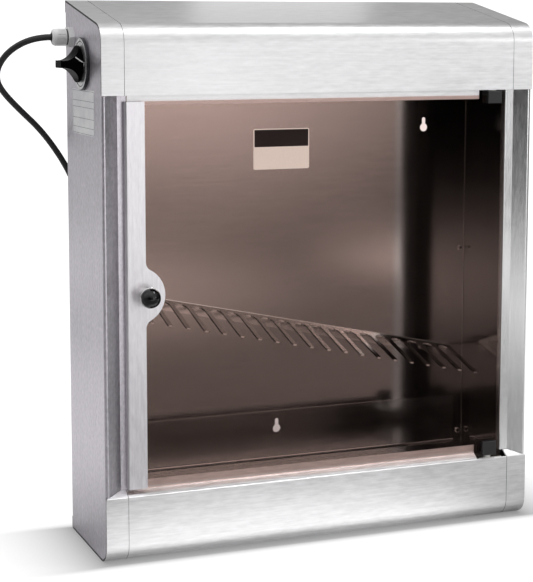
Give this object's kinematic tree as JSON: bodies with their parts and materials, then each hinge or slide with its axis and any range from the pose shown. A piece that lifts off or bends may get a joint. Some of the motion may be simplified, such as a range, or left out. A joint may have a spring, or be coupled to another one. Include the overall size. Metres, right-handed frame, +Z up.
{
  "type": "knife sterilizer cabinet",
  "caption": "Wall-hung stainless ultraviolet cabinet for kitchen knives, with a hood, a tinted side-hung door, a comb rack for the blades, a side timer and a mains lead.",
  "frame": {"origin": "middle of the underside, half way between front and back", "axes": "+Z up, -Y out of the front, +X to the right seen from the front"},
  "size_m": [0.597, 0.317, 0.6096],
  "materials": {
    "stainless_outer": "brushed",
    "stainless_inner": "satin",
    "rack_steel": "satin",
    "bright_steel": "polished",
    "lamp_cap_metal": "satin",
    "lamp_glass": "clear",
    "white_plastic": "matte",
    "gear_enamel": "satin",
    "bezel_plastic": "satin",
    "gland_plastic": "matte",
    "black_plastic": "satin",
    "clip_black": "satin",
    "bush_plastic": "matte",
    "rubber_black": "matte",
    "cord_black": "satin",
    "plug_black": "matte",
    "knob_black": "gloss",
    "tinted_pane": "gloss"
  },
  "bodies": {
    "cabinet": {"side_panel_left": "stainless_outer", "side_panel_right": "stainless_outer", "back_panel": "stainless_inner", "hood": "stainless_outer", "hood_end_left": "stainless_outer", "hood_end_right": "stainless_outer", "base_fascia": "stainless_outer", "fascia_end_left": "stainless_outer", "fascia_end_right": "stainless_outer", "floor_tray": "stainless_inner", "liner_left": "stainless_inner", "liner_right": "stainless_inner", "lamp_trough": "stainless_inner", "casing_screws": "bright_steel", "knife_rack": "rack_steel", "rack_rivets": "bright_steel", "uv_lamp": "lamp_glass", "lamp_cap_left": "lamp_cap_metal", "lamp_cap_right": "lamp_cap_metal", "lamp_holder_left": "white_plastic", "lamp_holder_right": "white_plastic", "ballast": "gear_enamel", "starter_base": "white_plastic", "starter": "bright_steel", "terminal_block": "white_plastic", "timer_bezel": "bezel_plastic", "timer_body": "black_plastic", "timer_screws": "bright_steel", "gland_body": "gland_plastic", "gland_nut": "gland_plastic", "gland_seal": "rubber_black", "gland_locknut": "gland_plastic", "magnet_catch": "black_plastic", "door_switch": "black_plastic", "catch_screws": "bright_steel", "hinge_bracket_low": "bright_steel", "hinge_bracket_high": "bright_steel", "hinge_bush_low": "bush_plastic", "hinge_bush_high": "bush_plastic", "mains_cord": "cord_black", "mains_cord_coil": "cord_black", "cord_tie": "rubber_black", "mains_plug": "plug_black"},
    "door": {"hinge_clip_top": "clip_black", "hinge_clip_bottom": "clip_black", "hinge_pins": "bright_steel", "clip_pads": "rubber_black", "clip_screws": "bright_steel", "door_pane": "tinted_pane", "handle_strip": "stainless_outer", "knob_base": "bright_steel", "pull_knob": "knob_black", "knob_screw": "bright_steel", "strike_plate": "bright_steel"},
    "timer_dial": {"timer_knob": "black_plastic", "timer_shaft": "bright_steel"},
    "door_plunger": {"switch_plunger": "black_plastic"}
  },
  "joints": [
    {"name": "door_hinge", "type": "hinge", "parent": "cabinet", "child": "door", "pos_m": [0.209, -0.068, 0.29], "axis": [0, 0, 1], "range_deg": [0, 160]},
    {"name": "timer_turn", "type": "hinge", "parent": "cabinet", "child": "timer_dial", "pos_m": [-0.258, 0, 0.54], "axis": [1, 0, 0], "range_deg": [0, 300]},
    {"name": "switch_push", "type": "slide", "parent": "cabinet", "child": "door_plunger", "axis": [0, 1, 0], "range_m": [0, 0.0025], "stiffness_N_per_m": 200}
  ]
}
